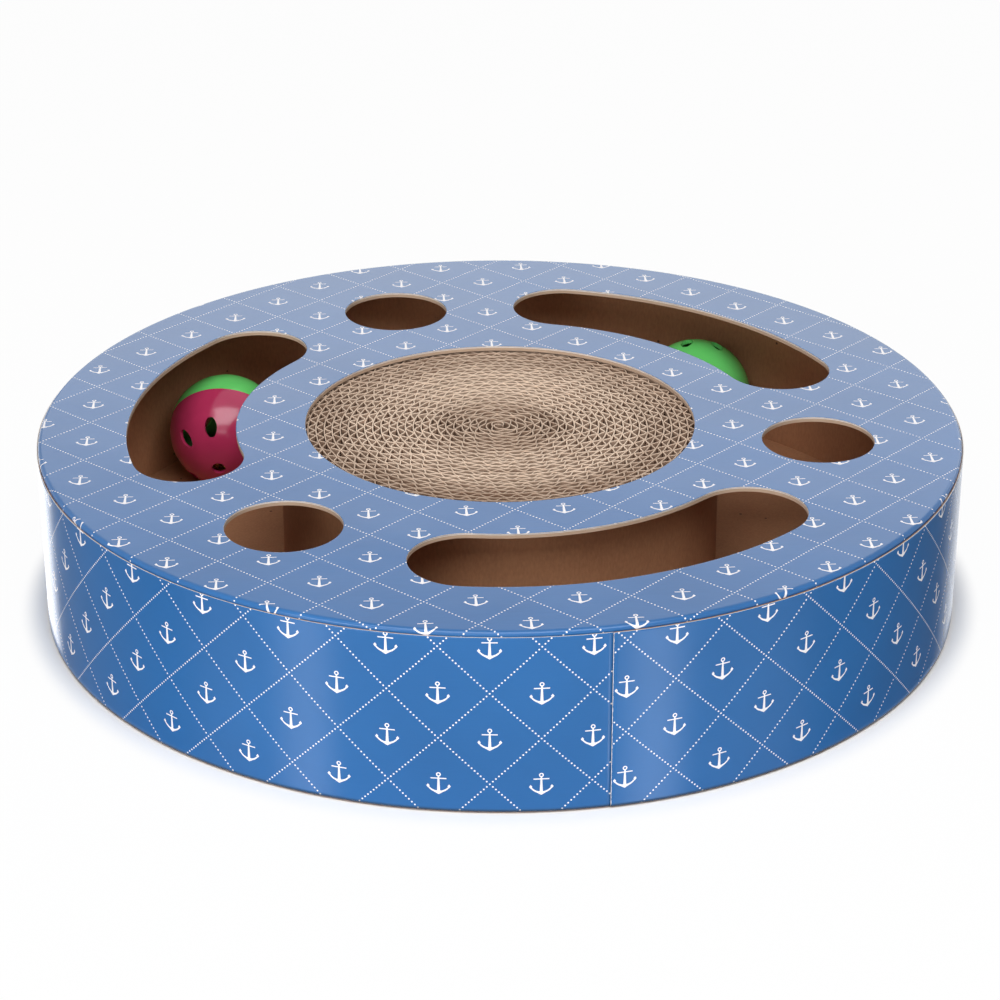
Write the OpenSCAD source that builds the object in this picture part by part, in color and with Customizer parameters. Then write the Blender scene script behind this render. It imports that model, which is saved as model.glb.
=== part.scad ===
// Cat scratching drum: a low round case of board with a wound corrugated coil in its middle.
// Round the coil runs a closed track with two rattle balls, reached through slots and paw holes.
// Origin at the middle of the underside, Z up, millimetres.

/* [Case] */
// Outer diameter, over the printed paper on the wall
drum_d = 340; // [280:1:420]
// Height, from the underside to the printed top
drum_h = 66; // [55:1:90]
// Thickness of the outer wall's board
wall_t = 2.5; // [1.5:0.1:4]
// Thickness of the base panel
base_t = 3; // [2:0.1:5]
// Thickness of the top panel's board
top_t = 1.5; // [1.2:0.1:4]
// Radius of the top panel's rounded rim
rim_round = 1; // [0.4:0.1:1.4]
// Thickness of the inner tube's board
tube_t = 2.5; // [1.5:0.1:4]
// Clear width of the track, from the inner tube to the outer wall
track_w = 85.8; // [60:0.1:95]

/* [Printed paper] */
// Thickness of the printed paper
print_t = 0.35; // [0.2:0.05:0.6]
// How far the wall's paper stands out past the rim above it
rim_inset = 0.45; // [0.2:0.05:1]
// How far the wall's paper ends above the underside
print_lift = 0.4; // [0:0.1:1]
// Where the wall's paper laps over itself, in degrees from the right-hand side
seam_angle = -77.7; // [-180:0.1:180]
// Over how many degrees the lapped end eases down to the paper under it
lap_ease = 80; // [40:1:85]

/* [Top openings] */
// How far the top panel reaches in over the tube and the coil
coil_lip = 9.3; // [4:0.1:14]
// How many curved slots there are, with as many round holes between them
opening_count = 3; // [2:1:3]
// Width of a curved slot
slot_w = 40; // [24:1:44]
// Angle between the centres of a slot's two round ends
slot_angle = 53; // [30:1:56]
// Panel left between a slot and the rim
slot_rim = 32.5; // [20:0.5:40]
// Diameter of a round hole
hole_d = 41; // [24:1:44]
// Where the first round hole lies, in degrees from the right-hand side
hole_phase = 111; // [0:1:360]

/* [Scratching coil] */
// Distance from one turn of the strip to the next
strip_pitch = 3; // [2.5:0.1:5]
// Thickness of the strip's flat paper
liner_t = 0.35; // [0.2:0.05:0.6]
// Thickness of the strip's fluted paper, measured across the strip
flute_t = 0.4; // [0.2:0.05:0.6]
// Distance from one flute to the next, along the strip
flute_pitch = 12; // [6:0.5:16]
// Least radius of the strip's innermost turn
core_least = 4; // [3:0.5:12]

/* [Balls] */
// Diameter of a ball
ball_d = 45; // [41:0.5:50]
// Thickness of a ball's shell
shell_t = 1.5; // [1.2:0.1:2.5]
// How many pairs of oval holes each half shell has
pair_count = 3; // [2:1:3]
// Angle from one oval hole of a pair to the other, round the pole
pair_angle = 45; // [36:1:60]
// Width of an oval hole
oval_w = 5; // [3:0.5:7]
// Length of an oval hole, from the equator towards the pole
oval_l = 8; // [6:0.5:12]
// Angle of the oval holes from the pole
oval_polar = 46; // [40:1:52]
// Diameter of the round hole at the pole
pole_d = 5.5; // [3:0.5:8]
// Height of the lip that holds the two half shells together
lip_h = 2; // [1:0.1:3]
// Where ball a lies on the track, in degrees from the right-hand side
ball_a_angle = 143.5; // [110:0.5:180]
// Where ball b lies on the track, in degrees from the right-hand side
ball_b_angle = 55.9; // [20:0.1:90]
// Distance from ball a to the outer wall
ball_a_off_wall = 7.6; // [0.4:0.1:30]
// Distance from ball b to the outer wall
ball_b_off_wall = 0.4; // [0.4:0.1:30]

/* [Bells] */
// Diameter of a bell's cups
bell_d = 14; // [10:0.5:18]
// Thickness of the bell's sheet metal
bell_t = 0.5; // [0.3:0.05:0.8]
// Height of the band that crimps the two cups together
band_h = 1.6; // [1:0.1:2.4]
// Width of the bell's crossed slits
slit_w = 1.2; // [0.6:0.1:2]
// Distance between the round holes at a slit's two ends
slit_l = 9; // [6:0.5:12]
// Diameter of the round hole at a slit's end
slit_end_d = 2.4; // [1.6:0.1:3]
// Inner diameter of the bell's wire loop
loop_d = 2.8; // [2:0.1:5]
// Diameter of the loop's wire
wire_d = 1; // [0.6:0.1:1.6]
// Diameter of the pellet in the bell
pellet_d = 3.5; // [2.5:0.1:5]

/* [Clearances] */
// Glue line between a paper and its board
glue_gap = 0.05; // [0:0.01:0.2]
// Gap between boards that fit one inside the other
board_gap = 0.1; // [0.05:0.05:0.5]
// Gap between the coil and the tube round it
coil_gap = 0.3; // [0.1:0.1:2]
// Gap between the flutes and the flat paper that they are glued to
flute_gap = 0.15; // [0.05:0.05:0.3]
// Gap under a ball, under its bell and under the pellet
rest_gap = 0.3; // [0.1:0.1:1]
// Gap between a lip and its recess
lip_gap = 0.1; // [0.05:0.05:0.3]

/* [Hidden] */
$fn = 96;
BALL_NAMES = ["a", "b"];

// The case, from the outside in
drum_r = drum_d / 2;
wall_r = drum_r - print_t - glue_gap;
wall_bore_r = wall_r - wall_t;
tube_r = wall_bore_r - track_w;
tube_bore_r = tube_r - tube_t;
panel_r = drum_r - rim_inset - print_t - glue_gap;
scratch_r = tube_r - coil_lip;
slot_r = drum_r - slot_rim - slot_w / 2;

// The case, from the underside up
panel_z = drum_h - print_t - top_t;
print_z = drum_h - print_t;
coil_h = panel_z - base_t - coil_gap;

// The coil: as many turns as the tube holds, drawn as half turns about two centres either side of the axis
half_step = strip_pitch / 2;
end_turns = 0.75;
coil_turns = floor((tube_bore_r - coil_gap - core_least) / strip_pitch - end_turns);
core_r = tube_bore_r - coil_gap - strip_pitch * (coil_turns + end_turns);
half_turns = 2 * coil_turns;
least_flutes = 3; // in a half turn, so that a fold clears the flat paper inside it
trough_r = liner_t + flute_gap + flute_t / 2;
crest_r = strip_pitch - flute_gap - flute_t / 2;

// The balls: how far the green pole leans from upright, which way it leans, and the turn about the poles
ball_r = ball_d / 2;
ball_bore_r = ball_r - shell_t;
ball_angles = [ball_a_angle, ball_b_angle];
ball_orbits = [for (off = [ball_a_off_wall, ball_b_off_wall]) wall_bore_r - ball_r - off];
ball_leans = [71, 47];
ball_headings = [86.5, 84.5];
ball_spins = [148, 187.5];
lip_r = ball_bore_r + lip_gap;
lip_t = (shell_t - 2 * lip_gap) / 2;
lip_root = 0.4;

// The bells
bell_r = bell_d / 2;
bell_drop = ball_bore_r - bell_r - rest_gap;
pellet_drop = bell_r - bell_t - pellet_d / 2 - rest_gap;

// Cutters reach this far past the faces that they cut
past = 1;

// Points of a quarter round, from the top to the side
function quarter(x, z, r, steps = 8) =
    [for (i = [0 : steps]) [x + r * sin(90 * i / steps), z + r * cos(90 * i / steps)]];

// Point on half turn k of the spiral, a degrees along it, at a depth out from the strip's inner face
function strip_point(k, a, depth) =
    let (
        middle = (k % 2 == 0 ? -1 : 1) * half_step / 2,
        r = core_r + k * half_step + depth
    ) [middle + r * cos(180 * k + a), r * sin(180 * k + a)];

// How many flutes half turn k has
function flutes_in(k) = max(least_flutes, ceil(PI * (core_r + k * half_step) / flute_pitch));

// Points along one side of the fluted paper: side is 1 outside and -1 inside
function flute_line(side, first, last) = [
    for (k = [first : last], j = [0 : 2 * flutes_in(k) - 1])
        strip_point(k, 90 * j / flutes_in(k), (j % 2 == 0 ? trough_r : crest_r) + side * flute_t / 2)
];

// Points along the flat paper's face in half turn k
function liner_line(depth, k) = [for (a = [0 : 5 : 180]) strip_point(k, a, depth)];

// Least distance between the points of two lines
function least_gap(line, other) = min([for (p = line) min([for (q = other) norm(p - q)])]);
next_turns = [0 : half_turns - 3];
liner_least = min([for (k = next_turns) least_gap(liner_line(liner_t, k), liner_line(0, k + 2))]);
flute_least = min([for (k = next_turns) least_gap(flute_line(1, k, k), flute_line(-1, k + 2, k + 2))]);
echo(liner_least_gap_mm = liner_least, flute_least_gap_mm = flute_least);

module ring(outer_r, inner_r, h) {
    difference() {
        cylinder(r = outer_r, h = h);
        translate([0, 0, -past]) cylinder(r = inner_r, h = h + 2 * past);
    }
}

// One curved slot, centred on the X axis
module slot_cutter(z, h) {
    rotate([0, 0, -slot_angle / 2])
        rotate_extrude(angle = slot_angle)
            translate([slot_r - slot_w / 2, z]) square([slot_w, h]);
    for (end = [-1, 1])
        rotate([0, 0, end * slot_angle / 2]) translate([slot_r, 0, z]) cylinder(d = slot_w, h = h);
}

// The slots and the round holes between them
module openings_cutter(z, h) {
    step = 360 / opening_count;
    for (i = [0 : opening_count - 1]) {
        rotate([0, 0, hole_phase + i * step]) translate([slot_r, 0, z]) cylinder(d = hole_d, h = h);
        rotate([0, 0, hole_phase + (i + 0.5) * step]) slot_cutter(z, h);
    }
}

module base_panel() {
    color("peru") cylinder(r = wall_bore_r - board_gap, h = base_t);
}

module outer_wall() {
    color("peru") ring(wall_r, wall_bore_r, panel_z);
}

// Paper round the wall: one end laps over the other and eases down to the wall
module wall_print() {
    h = panel_z - print_lift;
    reach = 2 * drum_r;
    color("steelblue") translate([0, 0, print_lift]) rotate([0, 0, seam_angle]) difference() {
        union() {
            cylinder(r = drum_r, h = h);
            intersection() {
                translate([print_t, 0, 0]) cylinder(r = drum_r, h = h);
                linear_extrude(h)
                    polygon([[0, 0], for (a = [0, lap_ease / 2, lap_ease]) reach * [cos(a), sin(a)]]);
            }
        }
        translate([0, 0, -past]) cylinder(r = drum_r - print_t, h = h + 2 * past);
    }
}

module inner_tube() {
    color("peru") translate([0, 0, base_t]) ring(tube_r, tube_bore_r, panel_z - base_t);
}

module top_panel() {
    color("burlywood") difference() {
        rotate_extrude() polygon(concat(
            [[panel_r, panel_z], [scratch_r, panel_z], [scratch_r, print_z]],
            quarter(panel_r - rim_round, print_z - rim_round, rim_round)
        ));
        openings_cutter(panel_z - past, top_t + 2 * past);
    }
}

// Paper on the top panel, turned down over its rim
module top_print() {
    inner_r = panel_r + glue_gap;
    inner_rim = quarter(inner_r - rim_round, print_z - rim_round, rim_round);
    outer_rim = quarter(inner_r - rim_round, print_z - rim_round, rim_round + print_t);
    color("lightsteelblue") difference() {
        rotate_extrude() polygon(concat(
            [[scratch_r, drum_h]], outer_rim,
            [[inner_r + print_t, panel_z], [inner_r, panel_z]],
            [for (i = [len(inner_rim) - 1 : -1 : 0]) inner_rim[i]],
            [[scratch_r, print_z]]
        ));
        openings_cutter(print_z - past, print_t + 2 * past);
    }
}

// Flat paper of the strip: one unbroken spiral of half rings
module coil_liner() {
    color("tan") translate([0, 0, base_t]) for (k = [0 : half_turns - 1])
        translate([(k % 2 == 0 ? -1 : 1) * half_step / 2, 0, 0])
            rotate([0, 0, 180 * k])
                rotate_extrude(angle = 180) translate([core_r + k * half_step, 0]) square([liner_t, coil_h]);
}

// Fluted paper of the strip: one unbroken zigzag between the turns of the flat paper
module coil_flutes() {
    outside = flute_line(1, 0, half_turns - 1);
    inside = flute_line(-1, 0, half_turns - 1);
    color("wheat") translate([0, 0, base_t]) linear_extrude(coil_h)
        polygon(concat(outside, [for (i = [len(inside) - 1 : -1 : 0]) inside[i]]));
}

// Places a ball's own frame: its middle at the origin, its green pole up
module at_ball(i) {
    rotate([0, 0, ball_angles[i]]) translate([ball_orbits[i], 0, base_t + rest_gap + ball_r])
        rotate([0, 0, -ball_angles[i]]) children();
}

module turned_ball(i) {
    at_ball(i) rotate([0, ball_leans[i], ball_headings[i]]) rotate([0, 0, ball_spins[i]]) children();
}

module at_bell(i) {
    at_ball(i) translate([0, 0, -bell_drop]) children();
}

// Half of a hollow sphere, on the XY plane
module dome(outer_r, inner_r) {
    difference() {
        sphere(r = outer_r);
        sphere(r = inner_r);
        translate([0, 0, -outer_r - past]) cylinder(r = outer_r + past, h = outer_r + past);
    }
}

// An oval hole: two wide arcs along its sides, which would meet just past its ends, and a third across the ends
module oval() {
    meet = 0.59 * oval_l;
    side_r = (meet * meet + oval_w * oval_w / 4) / oval_w;
    intersection() {
        circle(d = oval_l);
        translate([0, side_r - oval_w / 2]) circle(r = side_r);
        translate([0, oval_w / 2 - side_r]) circle(r = side_r);
    }
}

// A round hole at the pole and pairs of oval holes round it
module shell_holes() {
    depth = shell_t + 2 * past;
    translate([0, 0, ball_bore_r - past]) cylinder(d = pole_d, h = depth);
    for (i = [0 : pair_count - 1], side = [-1, 1])
        rotate([0, oval_polar, i * 360 / pair_count + side * pair_angle / 2])
            translate([0, 0, ball_bore_r - past]) linear_extrude(depth) oval();
}

// Lower half shell, with the lip that goes into the other half
module pink_half() {
    color("mediumvioletred") rotate([180, 0, 0]) difference() {
        union() {
            dome(ball_r, ball_bore_r);
            rotate_extrude() translate([lip_r, -lip_h]) square([lip_t, lip_h + lip_root]);
        }
        shell_holes();
    }
}

// Upper half shell, with the recess for the lip
module green_half() {
    color("limegreen") difference() {
        dome(ball_r, ball_bore_r);
        rotate_extrude() translate([lip_r - 2 * lip_gap - past, -past])
            square([lip_t + 3 * lip_gap + past, lip_h + lip_gap + past]);
        shell_holes();
    }
}

// Upper cup, with the band that is crimped over the lower cup's edge
module bell_top() {
    color("goldenrod") {
        dome(bell_r, bell_r - bell_t);
        rotate_extrude() polygon([
            [bell_r - bell_t / 2, 0], [bell_r + lip_gap, 0], [bell_r + lip_gap, -band_h / 2],
            [bell_r + lip_gap + bell_t, -band_h / 2], [bell_r + lip_gap + bell_t, band_h / 2],
            [bell_r - bell_t / 2, band_h / 2]
        ]);
    }
}

// Lower cup, with crossed slits that end in round holes
module bell_bottom() {
    color("goldenrod") difference() {
        rotate([180, 0, 0]) dome(bell_r, bell_r - bell_t);
        for (turn = [0, 90]) rotate([0, 0, turn]) translate([0, 0, -bell_r - past]) {
            translate([-slit_l / 2, -slit_w / 2, 0]) cube([slit_l, slit_w, bell_r]);
            for (end = [-1, 1]) translate([end * slit_l / 2, 0, 0]) cylinder(d = slit_end_d, h = bell_r);
        }
    }
}

module bell_loop() {
    turn_r = (loop_d + wire_d) / 2;
    color("goldenrod") translate([0, 0, bell_r + glue_gap + turn_r + wire_d / 2]) rotate([90, 0, 0])
        rotate_extrude() translate([turn_r, 0]) circle(d = wire_d);
}

module bell_pellet() {
    color("silver") translate([0, 0, -pellet_drop]) sphere(d = pellet_d);
}

base_panel();
outer_wall();
wall_print();
inner_tube();
top_panel();
top_print();
coil_liner();
coil_flutes();
for (i = [0 : len(BALL_NAMES) - 1]) {
    turned_ball(i) pink_half();
    turned_ball(i) green_half();
    at_bell(i) bell_top();
    at_bell(i) bell_bottom();
    at_bell(i) bell_loop();
    at_bell(i) bell_pellet();
}
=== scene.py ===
"""Looks of the cat scratching drum: laminated paper, kraft board, a corrugated coil and rattle balls."""
import math

import bmesh
import bpy
import numpy as np
from bpy.props import FloatProperty, FloatVectorProperty, IntProperty, PointerProperty
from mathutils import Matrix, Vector


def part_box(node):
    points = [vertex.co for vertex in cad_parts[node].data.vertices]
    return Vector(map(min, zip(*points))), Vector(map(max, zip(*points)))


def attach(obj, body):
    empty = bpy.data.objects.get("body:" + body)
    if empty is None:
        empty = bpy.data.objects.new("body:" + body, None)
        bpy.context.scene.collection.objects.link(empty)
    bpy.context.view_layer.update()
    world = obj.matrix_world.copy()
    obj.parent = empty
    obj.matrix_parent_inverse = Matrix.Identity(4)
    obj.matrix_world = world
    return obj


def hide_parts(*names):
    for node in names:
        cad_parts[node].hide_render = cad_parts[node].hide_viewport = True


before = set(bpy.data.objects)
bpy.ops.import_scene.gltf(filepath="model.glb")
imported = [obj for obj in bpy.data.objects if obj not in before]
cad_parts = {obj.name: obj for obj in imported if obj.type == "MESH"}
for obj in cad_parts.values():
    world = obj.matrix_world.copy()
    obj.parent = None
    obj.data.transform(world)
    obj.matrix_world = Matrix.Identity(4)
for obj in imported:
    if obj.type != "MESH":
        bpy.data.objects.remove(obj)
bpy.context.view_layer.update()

bl_info = {
    "name": "Cat scratching drum",
    "version": (1, 0, 0),
    "blender": (4, 5, 0),
    "location": "3D View > Sidebar > Drum",
    "description": "Builds the papers, boards, coil and balls of a cat scratching drum round its fixed frame",
    "category": "Object",
}

MM = 0.001
BODY = "drum"
BALLS = ("a", "b")


def reach(node):
    """How far a round node reaches from the axis, taken on its left side."""
    return -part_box(node)[0].x


def low(node):
    """Height of a node's lowest point."""
    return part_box(node)[0].z


def high(node):
    """Height of a node's highest point."""
    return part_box(node)[1].z


def linear(colour):
    """Linear RGBA of an sRGB hex colour."""
    srgb = np.array([int(colour[i:i + 2], 16) for i in (1, 3, 5)]) / 255
    rgb = np.where(srgb <= 0.04045, srgb / 12.92, ((srgb + 0.055) / 1.055) ** 2.4)
    return (*rgb.tolist(), 1.0)


def length(name, description, default):
    """A length in metres that shows in the sidebar."""
    return FloatProperty(
        name=name, description=description, default=default, subtype="DISTANCE", unit="LENGTH"
    )


def share(name, description, default):
    """A plain number that shows in the sidebar with four decimals."""
    return FloatProperty(name=name, description=description, default=default, precision=4)


def angle(name, description, degrees):
    """An angle that shows in the sidebar in degrees."""
    return FloatProperty(name=name, description=description, default=math.radians(degrees), subtype="ANGLE")


def colour(name, description, default):
    """A colour that shows in the sidebar, written as an sRGB hex value."""
    return FloatVectorProperty(
        name=name, description=description, default=linear(default), subtype="COLOR", size=4, min=0, max=1
    )


class DrumCase(bpy.types.PropertyGroup):
    """Sizes of the case and of the openings in its top"""

    drum_r: length("Drum radius", "Radius over the wall's paper", reach("wall_print"))
    rim_r: length("Rim radius", "Radius over the paper that is turned down at the rim", reach("top_print"))
    top_z: length("Top", "Height of the printed top", high("top_print"))
    board_z: length("Board top", "Height of the top board under its paper", high("top_panel"))
    seat_z: length("Board seat", "Height of the top board's underside", low("top_panel"))
    rim_round: length("Rim rounding", "Radius of the paper's bend over the rim", 1.35 * MM)
    scratch_r: length("Scratching radius", "Radius of the opening over the coil", 72 * MM)
    slot_r: length("Slot circle", "Radius of the circle that the openings lie on", 117.5 * MM)
    slot_w: length("Slot width", "Width of a curved slot", 40 * MM)
    slot_spread: angle("Slot spread", "Angle between the centres of a slot's round ends", 53)
    hole_d: length("Hole diameter", "Diameter of a round hole", 41 * MM)
    hole_phase: angle("First hole", "Where the first round hole lies", 111)
    openings: IntProperty(name="Openings", description="How many slots, and how many holes", default=3)


class DrumPrint(bpy.types.PropertyGroup):
    """The printed papers and their pattern"""

    paper_t: length("Paper", "Thickness of the printed paper", high("top_print") - high("top_panel"))
    top_diagonal: length("Top diamond", "Diagonal of a diamond on the top", 33.91 * MM)
    wall_diagonal: length("Wall diamond", "Diagonal of a diamond on the wall", 33.56 * MM)
    dots: IntProperty(name="Dots", description="How many dots a diamond has along each side", default=17)
    dot_d: length("Dot", "Diameter of a dot", 0.6 * MM)
    top_turn: angle("Top turn", "How far the top's pattern is turned", 3.64)
    top_x: length("Top across", "Where an anchor of the top lies, across", 86.12 * MM)
    top_y: length("Top along", "Where an anchor of the top lies, along", -4.53 * MM)
    top_skew: angle("Top skew", "How far the glued paper's print leans over, from front to back", 0.42)
    top_stretch: share("Top stretch", "By what share it is stretched from front to back", 0.0047)
    top_squeeze: share("Top squeeze", "By what share it is squeezed from left to right", 0.0031)
    seam: angle("Seam", "Where the wall's paper laps over itself", -77.7)
    wall_x: length("Wall across", "From the seam to the first anchor", 4.6 * MM)
    wall_z: length("Wall up", "Height of that anchor's row where it lies lowest", 43.95 * MM)
    wall_bow: length("Wall bow", "Rise of the wall's rows a quarter turn from where they lie lowest", 5 * MM)
    wall_low: angle("Wall low", "Where round the wall its rows lie lowest", -100)
    ink: colour("Ink", "Blue of the print", "#2C6BAA")
    deep_ink: colour("Deep ink", "Blue of the print's darker streaks", "#28629D")
    white: colour("Bare paper", "White of the anchors and dots", "#F6F3F6")
    edge: colour("Paper edge", "White of the paper where it is cut", "#F0EAE4")
    edge_dark: colour("Edge fibres", "Grey of the darker fibres in the cut", "#BFB0A2")
    # Painted shade: the dark colour of the contact shadow along the drum's foot
    painted_foot_shade: colour("Soil", "Colour of the dirt along the drum's foot", "#26343C")


class DrumCoil(bpy.types.PropertyGroup):
    """The wound corrugated strip"""

    pitch: length("Pitch", "From one turn of the strip to the next", 3 * MM)
    flute_pitch: length("Flutes", "From one flute to the next", 6.3 * MM)
    liner_t: length("Flat paper", "Thickness of the flat paper", 0.36 * MM)
    flute_t: length("Fluted paper", "Thickness of the fluted paper", 0.36 * MM)
    core_r: length("Core", "Radius of the innermost whole turn", 4.25 * MM)
    half_turns: IntProperty(name="Half turns", description="Half turns of the strip", default=48)
    light: colour("Cut edge", "Colour of the paper's frayed edge", "#F6DCC4")
    # Painted shade in part: the faces' dark brown also stands for the shade down between the turns
    dark: colour("Face", "Colour of the paper's faces below the edge", "#7E5B43")


class DrumFinish(bpy.types.PropertyGroup):
    """Colours of the boards, the balls and the bells"""

    kraft: colour("Kraft board", "Colour of the board's faces", "#C08C66")
    kraft_dark: colour("Kraft fibres", "Colour of the board's darker fibres", "#AA7856")
    cut: colour("Cut board", "Colour of the board where it is die-cut", "#CBB19A")
    cut_dark: colour("Cut plies", "Colour of the darker plies in the cut", "#B4977F")
    fleck: colour("Bark flecks", "Colour of the flecks in the board", "#5A3C26")
    pink: colour("Pink shell", "Colour of the pink half shells", "#C23762")
    pink_deep: colour("Pink clouds", "Colour of the darker clouds in the pink", "#B4325A")
    green: colour("Green shell", "Colour of the green half shells", "#72E077")
    green_deep: colour("Green clouds", "Colour of the darker clouds in the green", "#66D66B")
    brass: colour("Bell brass", "Colour of the bells", "#D6B25E")
    steel: colour("Pellet steel", "Colour of the pellets", "#A5A6A8")


class DrumStudio(bpy.types.PropertyGroup):
    """The camera and the floor"""

    lens: FloatProperty(name="Lens", description="Focal length on a 36 mm sensor", default=104.43)
    back: length("Camera back", "How far the camera stands in front of the drum's axis", 0.9857)
    up: length("Camera up", "How high the camera stands", 0.4949)
    aim: length("Camera aim", "Height that the camera looks at", 0.0330)
    floor: colour("Floor", "Colour of the floor", "#FAFAFA")
    floor_drop: length("Floor drop", "How far the floor lies under the drum", 0.8 * MM)
    shade_in: length("Shadow", "Radius within which the floor shows its whole shadow", 170.5 * MM)
    shade_out: length("Shadow end", "Radius from which the floor is nearly plain white", 181 * MM)


def add(tree, kind, inputs=None, **settings):
    """Adds a node: settings are its own properties, inputs its sockets' values or sockets linked to them."""
    node = tree.nodes.new(kind)
    for name, value in settings.items():
        setattr(node, name, value)
    for key, value in (inputs or {}).items():
        if isinstance(value, bpy.types.NodeSocket):
            tree.links.new(value, node.inputs[key])
        else:
            node.inputs[key].default_value = value
    return node


def blank_material(name):
    """A new material with an empty node tree."""
    material = bpy.data.materials.new(name)
    material.use_nodes = True
    material.node_tree.nodes.clear()
    return material, material.node_tree


def finish_material(material, shader):
    """Links a shader to the material's output."""
    add(material.node_tree, "ShaderNodeOutputMaterial", {"Surface": shader.outputs[0]})
    return material


# The print's pattern, as steps of arithmetic on x and y in millimetres.
# Each step has its name, an operation and the parts that it works on.
# Diamonds are squares on the diagonals a and b, with dots on their sides and an anchor in each middle.
HALF_ROOT = math.sqrt(0.5)
LATTICE_STEPS = (
    ("sum", "ADD", "x", "y"),
    ("difference", "SUBTRACT", "x", "y"),
    ("a", "MULTIPLY", "sum", HALF_ROOT),
    ("b", "MULTIPLY", "difference", HALF_ROOT),
    ("from_a", "PINGPONG", "a", "half_side"),
    ("from_b", "PINGPONG", "b", "half_side"),
    ("to_a_side", "SUBTRACT", "half_side", "from_a"),
    ("to_b_side", "SUBTRACT", "half_side", "from_b"),
    ("along_a", "PINGPONG", "to_a_side", "half_dot_pitch"),
    ("along_b", "PINGPONG", "to_b_side", "half_dot_pitch"),
    ("a_side_square", "MULTIPLY", "to_a_side", "to_a_side"),
    ("b_side_square", "MULTIPLY", "to_b_side", "to_b_side"),
    ("dot_on_a", "MULTIPLY_ADD", "along_b", "along_b", "a_side_square"),
    ("dot_on_b", "MULTIPLY_ADD", "along_a", "along_a", "b_side_square"),
    ("nearest_dot", "MINIMUM", "dot_on_a", "dot_on_b"),
    ("dots", "LESS_THAN", "nearest_dot", "dot_square"),
    ("cell_a", "WRAP", "a", "half_side", "minus_half_side"),
    ("cell_b", "WRAP", "b", "half_side", "minus_half_side"),
    ("cell_sum", "ADD", "cell_a", "cell_b"),
    ("cell_difference", "SUBTRACT", "cell_a", "cell_b"),
    ("across", "MULTIPLY", "cell_sum", HALF_ROOT),
    ("up", "MULTIPLY", "cell_difference", HALF_ROOT),
)
# The anchor, about its own middle: ring, stock, tapered shank, a crescent of arms, their tips and the crown.
ANCHOR_STEPS = (
    ("side", "ABSOLUTE", "across"),
    ("side_square", "MULTIPLY", "across", "across"),
    ("ring_up", "SUBTRACT", "up", 3.15),
    ("ring_square", "MULTIPLY_ADD", "ring_up", "ring_up", "side_square"),
    ("ring_r", "SQRT", "ring_square"),
    ("ring", "COMPARE", "ring_r", 0.6, 0.2),
    ("stock_up", "COMPARE", "up", 1.7, 0.2),
    ("stock_side", "LESS_THAN", "side", 2.6),
    ("stock", "MULTIPLY", "stock_up", "stock_side"),
    ("shank_w", "MULTIPLY_ADD", "up", -0.045, 0.37),
    ("shank_side", "LESS_THAN", "side", "shank_w"),
    ("shank_up", "COMPARE", "up", -0.4, 3.0),
    ("shank", "MULTIPLY", "shank_side", "shank_up"),
    ("outer_up", "SUBTRACT", "up", 0.445),
    ("outer_square", "MULTIPLY_ADD", "outer_up", "outer_up", "side_square"),
    ("in_outer", "LESS_THAN", "outer_square", 4.095 ** 2),
    ("inner_up", "SUBTRACT", "up", 0.956),
    ("inner_square", "MULTIPLY_ADD", "inner_up", "inner_up", "side_square"),
    ("out_of_inner", "GREATER_THAN", "inner_square", 3.956 ** 2),
    ("below_tips", "LESS_THAN", "up", -1.0),
    ("crescent", "MULTIPLY", "in_outer", "out_of_inner"),
    ("arms", "MULTIPLY", "crescent", "below_tips"),
    ("tip_side", "SUBTRACT", "side", 3.48),
    ("tip_across", "ABSOLUTE", "tip_side"),
    ("tip_up", "ADD", "up", 1.2),
    ("tip_along", "ABSOLUTE", "tip_up"),
    ("tip_reach", "MULTIPLY_ADD", "tip_along", 0.75, "tip_across"),
    ("tips", "LESS_THAN", "tip_reach", 0.55),
    ("crown_up", "ADD", "up", 3.4),
    ("crown_along", "ABSOLUTE", "crown_up"),
    ("crown_reach", "MULTIPLY_ADD", "side", 0.6, "crown_along"),
    ("crown", "LESS_THAN", "crown_reach", 0.9),
    ("ring_or_stock", "MAXIMUM", "ring", "stock"),
    ("shank_or_arms", "MAXIMUM", "shank", "arms"),
    ("tips_or_crown", "MAXIMUM", "tips", "crown"),
    ("upper", "MAXIMUM", "ring_or_stock", "shank_or_arms"),
    ("anchor", "MAXIMUM", "upper", "tips_or_crown"),
    ("bare", "MAXIMUM", "anchor", "dots"),
)
SHEET_UV = "unrolled"
CUT_LAYER = "cut"
TONE_LAYER = "tone"
GLOW_LAYER = "glow"


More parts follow.
